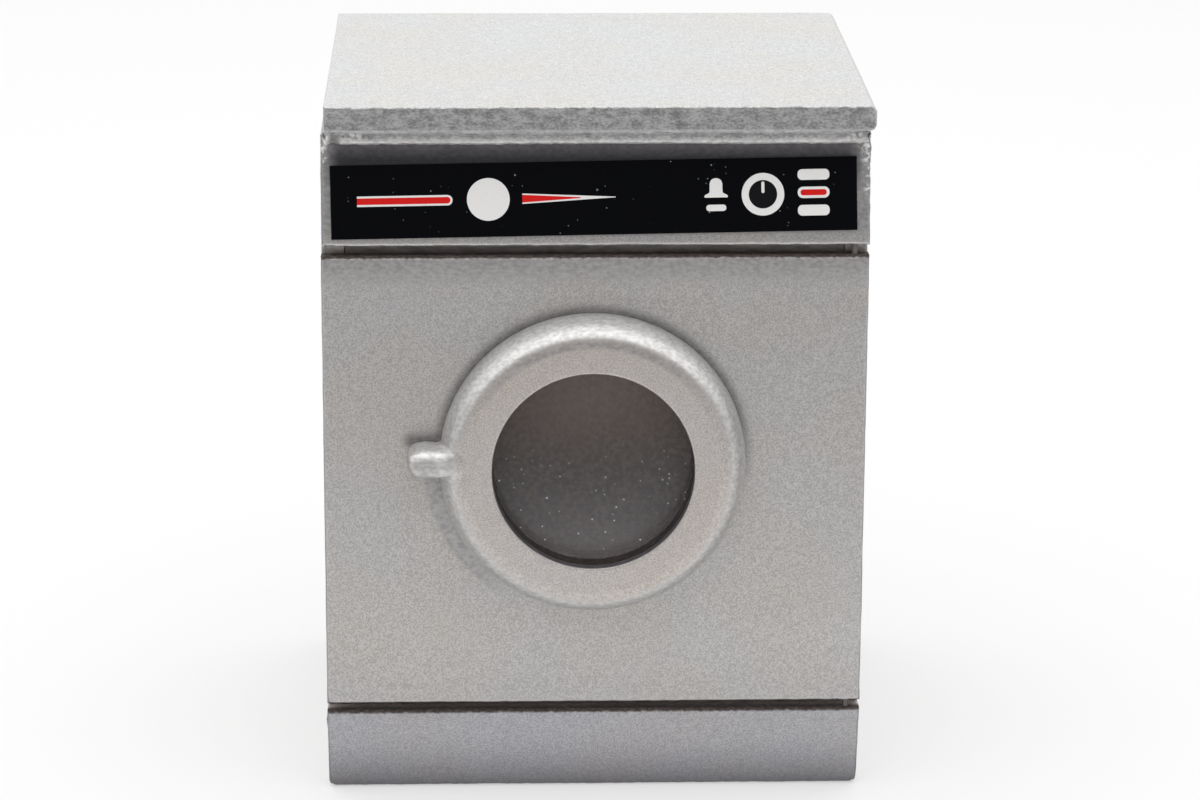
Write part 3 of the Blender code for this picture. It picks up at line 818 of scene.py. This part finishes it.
MARK_RISE = 0.06
SPOT_RADIUS = 2.33
DIAL_X = 18.41
DIAL_HOLE = 1.55
KEY_LEFT = 22.21
KEY_RIGHT = 25.69
KEY_ROUND = 0.5
hat = [(12.06, -0.26), (14.53, -0.26), (14.58, -0.14), (14.5, 0.02), (14.12, 0.2), (14.0, 0.32),
       (13.98, 1.3), (13.85, 1.62), (13.6, 1.8), (13.29, 1.86), (12.98, 1.8), (12.73, 1.62),
       (12.6, 1.3), (12.58, 0.32), (12.46, 0.2), (12.08, 0.02), (12.0, -0.14)]
wedge = [(-7.84, -0.56), (2.34, -0.02), (2.34, 0.05), (-7.84, 0.58)]
wedge_core = [(-7.84, -0.41), (-1.5, -0.04), (-1.5, 0.06), (-7.84, 0.43)]
print_layer("print_white", [printed([(x, y + MARK_RISE) for x, y in outline]) for outline in (
    bar(-25.82, -15.43, -0.57, 0.57, 0, 0.56),
    disc(-11.54, 0.0, SPOT_RADIUS),
    wedge,
    hat,
    bar(12.2, 14.39, -1.74, -1.04, 0.33, 0.33),
    disc(DIAL_X, 0.0, SPOT_RADIUS),
    bar(KEY_LEFT, KEY_RIGHT, 1.48, 2.66, KEY_ROUND, KEY_ROUND),
    bar(KEY_LEFT, KEY_RIGHT, -0.5, 0.74, 0.58, 0.58),
    bar(KEY_LEFT, KEY_RIGHT, -2.42, -1.24, KEY_ROUND, KEY_ROUND))], PRINT_WHITE)
print_layer("print_red", [printed([(x, y + MARK_RISE) for x, y in outline], 2) for outline in (
    bar(-25.82, -15.66, -0.35, 0.35, 0, 0.34),
    wedge_core,
    bar(22.52, 25.38, -0.2, 0.44, 0.3, 0.3))], PRINT_RED)
print_layer("print_dial", [printed(disc(DIAL_X, MARK_RISE, DIAL_HOLE), 2)], FILM_BLACK)
print_layer("print_pointer", [
    printed(bar(DIAL_X - 0.17, DIAL_X + 0.17, 0.2, 1.45, 0.15, 0.15), 3)], PRINT_WHITE)


# Hinge pins. Two short lengths of steel wire, dulled by the spray. They stand at the door's right
# edge, and the door turns on them.
PIN_DARK = (0.13, 0.12, 0.115)
PIN_PALE = (0.18, 0.168, 0.16)
PIN_METALLIC = 0.5
PIN_ROUGHNESS = 0.45

pin_finish, pin_shader, pin_place = new_finish("pin_steel")
drawn = pin_place.grain(0.15 * MM, 3.0, (1, 1, 0.1))
feed(pin_shader, "Base Color", drawn.tint(PIN_DARK, PIN_PALE))
feed(pin_shader, "Metallic", PIN_METALLIC)
feed(pin_shader, "Roughness", drawn * 0.2 + PIN_ROUGHNESS)
for pin in ("lower_hinge_pin", "upper_hinge_pin"):
    refinish(pin, pin_finish)


# Door board. The middle board of the front, silver outside and bare inside, with burnt upper and
# lower edges and a round hole, burnt too, cut behind the window. Its silver is painted darker
# towards top and bottom, as shade, with painted shadows above the handle, round the upper part of
# the ring's foot and left of the ring below the handle, and a painted highlight on its lower arris.
HOLE_RADIUS = 11.1 * MM
HOLE_SEGMENTS = 128
HOLE_CUT = 10 * MM
RING_FOOT = 16.9 * MM
SILVER_RING_SHADOW = (0.36, 0.352, 0.35)
HANDLE_WIDTH = 3.3 * MM
HANDLE_RISE = 0.7 * MM

spacer_low, spacer_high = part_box("window_spacer")
porthole = (spacer_low + spacer_high) / 2
ring_low, ring_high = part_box("porthole_ring")
ring_centre = Vector((porthole.x, 0, (ring_high.z + ring_low.z) / 2))
handle_z = ring_centre.z + HANDLE_RISE
handle_top = handle_z + HANDLE_WIDTH / 2
# Where painted shadows lie: above the handle, and left of the ring below it.
shadow_above_handle = [("z", handle_top + 1.4 * MM, handle_top + 0.1 * MM),
                ("z", handle_top - 0.9 * MM, handle_top - 0.4 * MM),
                ("x", ring_low.x - 1.3 * MM, ring_low.x + 0.2 * MM),
                ("x", ring_centre.x - 13 * MM, ring_centre.x - 15 * MM)]
shadow_left_of_ring = [("r", RING_FOOT + 2.1 * MM, RING_FOOT + 1.5 * MM),
                ("x", ring_centre.x - 8 * MM, ring_centre.x - 14 * MM),
                ("z", ring_centre.z + 1 * MM, ring_centre.z - 1 * MM)]
door_stand_low = door_low - EDGE_SPARE * 1.5
door = block("board_door", door_stand_low, door_high, front_rounding)
gridded(door_stand_low, door_high, (FINE_STEP, FINE_STEP, BROAD_STEP))
sculpted(door, door_stand_low, door_high, seed=11, bead=0.045 * MM)
bpy.ops.mesh.primitive_cylinder_add(vertices=HOLE_SEGMENTS, radius=HOLE_RADIUS, depth=HOLE_CUT,
                                    location=(porthole.x, door_low.y, porthole.z),
                                    rotation=(math.pi / 2, 0, 0))
hole_cutter = bpy.context.object
apply_modifier(door, "BOOLEAN", operation="DIFFERENCE", object=hole_cutter)
bpy.data.objects.remove(hole_cutter, do_unlink=True)
bpy.ops.object.shade_smooth_by_angle(angle=SMOOTH_ANGLE)
place_piece(door, "door", "silver_board", sprayed(
    "sprayed_door", bare=[[("y", door_high.y - 0.4 * MM, door_high.y - 0.15 * MM)]],
    charred=[burnt_edge(door_low, door_high, True, door_low.y + 0.08 * MM),
             burnt_edge(door_stand_low, door_high, False, door_low.y),
             [("r", HOLE_RADIUS + 0.5 * MM, HOLE_RADIUS + 0.2 * MM)]],
    # Painted shade at bottom and top, a painted highlight on the lower arris, painted shadows by the ring.
    tones=[(SILVER_SHADED, [("z", door_low.z + 8 * MM, door_low.z - 24 * MM)]), lit_lower_arris(door_stand_low),
           (SILVER_SHADED, [("z", door_stand_low.z + 0.55 * MM, door_stand_low.z - 0.02 * MM)]),
           (SILVER_HALF_SHADED, [("z", door_high.z - 4 * MM, door_high.z - 0.7 * MM)]),
           (SILVER_RING_SHADOW, shadow_left_of_ring), (SILVER_SHADED, shadow_above_handle),
           (SILVER_SHADED, [("r", RING_FOOT + 1.3 * MM, RING_FOOT),
                          ("z", porthole.z - 6 * MM, porthole.z + 8 * MM)])],
    hole=porthole), "door_board")


# Window. A clear glossy disc with dust on it, behind a spacer ring whose cut wall is burnt dark.
# A faint cloud in the disc is partly haze and partly painted light: it grows towards the top and
# bottom, warmer above and cooler below, for what the pane mirrors and shows behind it.
spacer_finish, spacer_shader, spacer_place = new_finish("burnt_spacer")
soot = spacer_place.grain(0.4 * MM, 4.0, (1, 0.3, 1))
feed(spacer_shader, "Base Color", soot.rise(0.35, 0.7).tint(SOOT, CHARRED))
feed(spacer_shader, "Roughness", soot * 0.1 + 0.8)
relief(spacer_shader, spacer_place, soot, 0.04 * MM)
refinish("window_spacer", spacer_finish)

PANE_CLOUD_WARM = (0.66, 0.53, 0.49)
PANE_CLOUD_COOL = (0.57, 0.53, 0.54)
PANE_TINT = (0.93, 0.92, 0.91, 1)
PANE_INDEX = 1.3

pane_finish, pane_shader, pane_place = new_finish("clear_pane")
feed(pane_shader, "Base Color", PANE_TINT)
feed(pane_shader, "Transmission Weight", 1.0)
feed(pane_shader, "Roughness", pane_place.grain(2 * MM, 2.0) * 0.01)
feed(pane_shader, "IOR", PANE_INDEX)
settled = pane_place.axes()[2].rise(porthole.z + 6 * MM, porthole.z - 3 * MM) * 0.85 + 0.15
scattered = pane_place.grain(2.5 * MM, 1.0).rise(0.4, 0.54) * settled
pane_low, pane_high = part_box("window_pane")
outside = pane_place.axes()[1].rise(pane_high.y, pane_low.y)
pane_dust = (pane_place.specks(1.0 * MM, 0.1 * MM) * scattered).over(
    pane_place.specks(2.6 * MM, 0.14 * MM) * settled) * outside
# Painted light in the pane's cloud: more towards top and bottom, warm above and cool below.
from_middle = (pane_place.axes()[2] - porthole.z) * (1 / (9 * MM))
pane_cloud = pane_place.grain(9 * MM, 1.0, (1, 1, 0.4)) * 0.02 + 0.055 + from_middle * from_middle * 0.1
pane_tree = pane_finish.node_tree
dust_shader = pane_tree.nodes.new("ShaderNodeBsdfDiffuse")
cloud_tint = pane_place.axes()[2].rise(porthole.z - 5 * MM, porthole.z + 5 * MM).tint(PANE_CLOUD_COOL, PANE_CLOUD_WARM)
feed(dust_shader, "Color", pane_dust.tint(cloud_tint, DUST_PALE))
dusty = pane_tree.nodes.new("ShaderNodeMixShader")
feed(dusty, "Fac", pane_cloud.over(pane_dust * 0.95))
pane_tree.links.new(pane_shader.outputs["BSDF"], dusty.inputs[1])
pane_tree.links.new(dust_shader.outputs["BSDF"], dusty.inputs[2])
pane_tree.links.new(dusty.outputs["Shader"], pane_tree.nodes["Material Output"].inputs["Surface"])
refinish("window_pane", pane_finish)


# Porthole ring. Cast in one piece with its handle: a short foot, a long rolled shoulder, a flat
# face and a softened lip round the window. Sprayed with the same silver. Painted highlights lie on
# the roll, as a cooler tone all round it that is paler at its top and on its outer side, and
# along the handle's top; painted shade lies in the hollow inside the roll at the top, and on the lip.
RING_COLOUR = (0.49, 0.459, 0.444)
RING_ROLL_HIGHLIGHT_TINT = (0.48, 0.472, 0.463)
RING_TOP_HIGHLIGHT = (0.68, 0.671, 0.66)
RING_SIDE_HIGHLIGHT = (0.6, 0.592, 0.582)
HANDLE_BODY = (0.44, 0.43, 0.42)
HANDLE_TOP_HIGHLIGHT = (0.7, 0.69, 0.68)
RING_HOLLOW_SHADE = (0.4, 0.375, 0.363)
RING_TURNS = 160
RING_FALL = 0.2 * MM
RING_CREST_SOFT = 0.8 * MM
RING_CREST_LAND = 4.1 * MM
RING_CREST_TILT = math.radians(35)
RING_FACE_LAND = 3.0 * MM
RING_LIP_ROUND = 0.18 * MM
SHOULDER_STEPS = 14
RING_VOXEL = 0.125 * MM
RING_KEPT = 0.42
HOLLOW_CUT = 20 * MM
SMOOTH_STRENGTH = 0.5
FILLET_PASSES = 60
CREST_PASSES = 40
RING_PASSES = 5
HANDLE_END = 1.55 * MM
HANDLE_FRONT = 1.15 * MM
HANDLE_SPARE = 0.3 * MM
FILLET_REACH = 1.1 * MM

ring_radius = (ring_high.z - ring_low.z) / 2
face_y = ring_low.y + 0.01 * MM
crest_y = face_y + RING_FALL
shelf_y = spacer_low.y - 0.05 * MM
bore_radius = (spacer_high.z - spacer_low.z) / 2 + 0.1 * MM

section = [(bore_radius, ring_high.y), (ring_radius, ring_high.y)]
shoulder = (ring_radius - HOLE_RADIUS - RING_CREST_LAND) / (1 - math.sin(RING_CREST_TILT))
for step in range(SHOULDER_STEPS + 1):
    angle = math.pi / 2 - (math.pi / 2 - RING_CREST_TILT) * step / SHOULDER_STEPS
    section.append((ring_radius - shoulder * (1 - math.sin(angle)),
                    crest_y + shoulder * (math.cos(RING_CREST_TILT) - math.cos(angle))))
section.append((HOLE_RADIUS + (RING_CREST_LAND + RING_FACE_LAND) / 2, (crest_y + face_y) / 2))
section.append((HOLE_RADIUS + RING_FACE_LAND, face_y))
for step in range(5):
    angle = math.pi / 2 * step / 4
    section.append((HOLE_RADIUS + RING_LIP_ROUND - RING_LIP_ROUND * math.sin(angle),
                    face_y + RING_LIP_ROUND - RING_LIP_ROUND * math.cos(angle)))
section += [(HOLE_RADIUS, shelf_y), (bore_radius, shelf_y)]

bpy.ops.object.select_all(action="DESELECT")
bpy.ops.mesh.primitive_circle_add(vertices=len(section), radius=shoulder, location=(0, 0, 0))
ring = bpy.context.object
ring.name = "cast_ring"
ring.data.name = "cast_ring"
for vert, (radius, depth) in zip(ring.data.vertices, section):
    vert.co = ring_centre + Vector((radius, depth, 0))
bpy.ops.object.mode_set(mode="EDIT")
bpy.ops.mesh.select_all(action="SELECT")
bpy.ops.mesh.spin(steps=RING_TURNS, angle=math.tau, center=ring_centre, axis=(0, 1, 0))
bpy.ops.mesh.select_all(action="SELECT")
bpy.ops.mesh.remove_doubles(threshold=0.002 * MM)
bpy.ops.mesh.normals_make_consistent(inside=False)
bpy.ops.object.mode_set(mode="OBJECT")


def handle_rounding(x, y, z):
    """Round outer end, rolled front, and plain where the bar runs into the ring."""
    if y == 0:
        return HANDLE_END if x < 0 else FINE_ARRIS
    return HANDLE_FRONT if y < 0 and x <= 0 else FINE_ARRIS


handle_inner = ring_centre.x - HOLE_RADIUS - RING_FACE_LAND
handle = block("handle_bar", Vector((ring_low.x - HANDLE_SPARE, ring_low.y, handle_z - HANDLE_WIDTH / 2)),
               Vector((handle_inner, ring_high.y, handle_z + HANDLE_WIDTH / 2)), handle_rounding)
bpy.ops.object.mode_set(mode="OBJECT")
bpy.ops.mesh.primitive_cylinder_add(vertices=HOLE_SEGMENTS, radius=bore_radius, depth=HOLLOW_CUT,
                                    location=(ring_centre.x, shelf_y + HOLLOW_CUT / 2, ring_centre.z),
                                    rotation=(math.pi / 2, 0, 0))
hollow = bpy.context.object
for tool, operation in ((handle, "UNION"), (hollow, "DIFFERENCE")):
    apply_modifier(ring, "BOOLEAN", operation=operation, object=tool)
    bpy.data.objects.remove(tool, do_unlink=True)
apply_modifier(ring, "REMESH", mode="VOXEL", voxel_size=RING_VOXEL)
fillet = ring.vertex_groups.new(name="fillet")
crest = ring.vertex_groups.new(name="crest")
for vert in ring.data.vertices:
    from_centre = math.hypot(vert.co.x - ring_centre.x, vert.co.z - ring_centre.z)
    by_crest = max(0, 1 - abs(from_centre - HOLE_RADIUS - RING_CREST_LAND) / RING_CREST_SOFT)
    if by_crest > 0:
        crest.add([vert.index], min(1, 2 * by_crest), "REPLACE")
    by_wall = max(0, 1 - abs(from_centre - ring_radius) / FILLET_REACH)
    by_bar = max(0, 1 - abs(abs(vert.co.z - handle_z) - HANDLE_WIDTH / 2) / FILLET_REACH)
    if by_wall * by_bar > 0 and vert.co.x < ring_centre.x:
        fillet.add([vert.index], min(1, 2 * by_wall * by_bar), "REPLACE")
for group, passes in (("fillet", FILLET_PASSES), ("crest", CREST_PASSES), ("", RING_PASSES)):
    apply_modifier(ring, "SMOOTH", factor=SMOOTH_STRENGTH, iterations=passes, vertex_group=group)
apply_modifier(ring, "DECIMATE", ratio=RING_KEPT)
bpy.ops.object.shade_smooth()
place_piece(ring, "door", "silver_casting", sprayed(
    "sprayed_ring", colour=RING_COLOUR, hole=porthole,
    # Painted highlights on the roll and handle, painted shade in the hollow and on the lip.
    tones=[(RING_ROLL_HIGHLIGHT_TINT, [("r", HOLE_RADIUS + 3.6 * MM, HOLE_RADIUS + 4.4 * MM)]),
           (RING_TOP_HIGHLIGHT, [("r", HOLE_RADIUS + 3.8 * MM, HOLE_RADIUS + 4.5 * MM),
                        ("z", porthole.z + 4 * MM, porthole.z + 12 * MM)]),
           (RING_SIDE_HIGHLIGHT, [("r", HOLE_RADIUS + 5.1 * MM, HOLE_RADIUS + 5.8 * MM)]),
           (RING_HOLLOW_SHADE, [("r", HOLE_RADIUS + 2.6 * MM, HOLE_RADIUS + 3.2 * MM),
                          ("r", HOLE_RADIUS + 4.1 * MM, HOLE_RADIUS + 3.5 * MM),
                          ("z", porthole.z + 6 * MM, porthole.z + 13 * MM)]),
           (HANDLE_BODY, [("x", ring_centre.x - 16.4 * MM, ring_centre.x - 17.4 * MM)]),
           (HANDLE_TOP_HIGHLIGHT, [("x", ring_centre.x - 15.6 * MM, ring_centre.x - 16.6 * MM),
                          ("z", handle_z + 0.35 * MM, handle_z + 0.8 * MM),
                          ("z", handle_top + 0.4 * MM, handle_top + 0.1 * MM)]),
           # Painted shade on the lip, dimming its highlight.
           (SILVER_IN_SHADOW, [("r", HOLE_RADIUS + 0.17 * MM, HOLE_RADIUS + 0.02 * MM),
                          ("y", face_y - 0.02 * MM, face_y + 0.14 * MM)])]), "porthole_ring")


# Worktop. A thick slab with a sawn, fibrous front edge that took the paint unevenly, on a thinner
# board that stops short of both its ends. Glue and paint have closed the joint between them. Both
# boards take a silver paler than the rest, painted light for the bright top. The thinner board has
# a painted highlight on its lower arris and painted shade under the slab at its left end.
SLAB_END = 0.8 * MM
SLAB_TOP_END = 0.65 * MM
SLAB_CORNER = 0.5 * MM
SLAB_SPARE = 0.15 * MM
# Paler than the other boards' silver: painted light for the worktop's bright top.
WORKTOP_SILVER_LIT = (0.598, 0.601, 0.604)
JOINT_SILVER = (0.47, 0.47, 0.47)
JOINT_DULL = (0.31, 0.31, 0.31)
SLAB_WEAR = 0.3 * MM
TORN_DEPTH = 0.04 * MM
STRIP_DRIP = 0.17 * MM
STRIP_SPREAD = (1.7 * MM, 1.1 * MM)
STRIP_ROUGH = 1.6 * MM
STRIP_DRAWN_BACK = 0.35 * MM
DRIP_DEPTH = 1.6 * MM
DRIP_RISE = 0.5 * MM


def slab_rounding(x, y, z):
    """The slab's upright corners and its right end are the most worn."""
    if z == 0:
        return SLAB_END if x > 0 else SLAB_CORNER
    if z > 0:
        return SLAB_TOP_END if x > 0 else KEEN_ARRIS
    if x < 0:
        return ARRIS
    return SLAB_END if x > 0 else FINE_ARRIS


def worktop_board(name, node, low, high, rounding, tones, beads_and_glints=(), **looks):
    """A board of the worktop, with a torn front edge."""
    piece = block(name, low, high, rounding)
    gridded(low, high, (FINE_STEP, BROAD_STEP, FINE_STEP))
    sculpted(piece, low, high, torn=TORN_DEPTH, **looks)
    front_edge = [("y", low.y + 0.5 * MM, low.y + 0.25 * MM), ("z", high.z - 0.02 * MM, high.z - 0.14 * MM)]
    place_piece(piece, "carcass", "silver_board",
                sprayed("sprayed_" + name, colour=WORKTOP_SILVER_LIT, sawn=[front_edge], tones=tones,
                        beads_and_glints=beads_and_glints), node)
    return piece


strip_low, strip_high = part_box("worktop_underlay")
slab_low, slab_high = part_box("worktop")
strip_mid = (strip_low.z + strip_high.z) / 2
strip_left = Vector((strip_low.x, strip_low.y, strip_mid))
strip_right = Vector((strip_high.x, strip_low.y, strip_mid))
strip_corner = strip_left - Vector((1.6 * MM, 0, 0))
strip_lump = strip_left + Vector((1.2 * MM, 0, 0))
strip = worktop_board(
    "board_underlay", "worktop_underlay", strip_low, Vector((*strip_high.xy, slab_low.z + 0.1 * MM)),
    lambda x, y, z: KEEN_ARRIS if z < 0 and y < 0 else FINE_ARRIS, seed=14, bead=0.05 * MM,
    # A painted highlight along the lower arris.
    tones=[(SILVER_THICK_AND_HIGHLIGHT, [("z", strip_low.z + 0.7 * MM, strip_low.z)]),
           (JOINT_SILVER, [("z", slab_low.z - 0.25 * MM, slab_low.z - 0.05 * MM)]),
           (JOINT_DULL, [("z", slab_low.z - 0.44 * MM, slab_low.z - 0.38 * MM),
                          ("z", slab_low.z - 0.28 * MM, slab_low.z - 0.34 * MM),
                          ("x", strip_low.x + 2 * MM, strip_low.x + 4 * MM)]),
           # Painted shade under the slab beside the left end.
           (SILVER_SHADED, [("x", strip_low.x + 0.15 * MM, strip_low.x - 0.2 * MM),
                          ("x", strip_low.x - 1.5 * MM, strip_low.x - 0.9 * MM),
                          ("z", slab_low.z - 0.1 * MM, slab_low.z - 0.4 * MM)])],
    # Paint and glue gathered at the ends, and a painted glint at the left corner.
    beads_and_glints=[(strip_lump, 1.8 * MM, SILVER_THICK_AND_HIGHLIGHT), (strip_corner, 0.8 * MM, PAINT_GLINT),
           (strip_right, 2.2 * MM, SILVER_THICK_AND_HIGHLIGHT)],
    spots=[(strip_left, 1.3 * MM, 0.2 * MM), (strip_right, 1.4 * MM, 0.2 * MM)])
for vert in strip.data.vertices:
    from_front = max(0, 1 - (vert.co.y - strip_low.y) / DRIP_DEPTH)
    from_foot = max(0, 1 - (vert.co.z - strip_low.z) / DRIP_RISE)
    vert.co.z -= STRIP_DRIP * min(1, 2 * from_front) * from_foot
    for end_x, outward, spread in ((strip_low.x, -1, STRIP_SPREAD[0]), (strip_high.x, 1, STRIP_SPREAD[1])):
        close = max(0, 1 - (end_x - vert.co.x) * outward / STRIP_ROUGH)
        ragged = noise.noise(vert.co / (0.6 * MM))
        vert.co.x += outward * spread * close * min(1, 2 * from_front) * (0.9 + 0.4 * ragged)
        vert.co.y += STRIP_DRAWN_BACK * min(1, 1.5 * close) * (0.5 + 1.2 * ragged)
slab = worktop_board(
    "slab", "worktop", slab_low, slab_high + Vector((SLAB_SPARE, 0, 0)), slab_rounding,
    seed=17, bead=0.04 * MM, lower=(0, MM),
    tones=[(JOINT_SILVER, [("z", slab_low.z + 0.4 * MM, slab_low.z + 0.1 * MM),
                           ("y", slab_low.y + 1 * MM, slab_low.y)])])
for vert in slab.data.vertices:
    worn = max(0, 1 - (slab_high.x + SLAB_SPARE - vert.co.x) / MM)
    if vert.co.z > (slab_low.z + slab_high.z) / 2:
        vert.co.z -= SLAB_WEAR * worn * worn
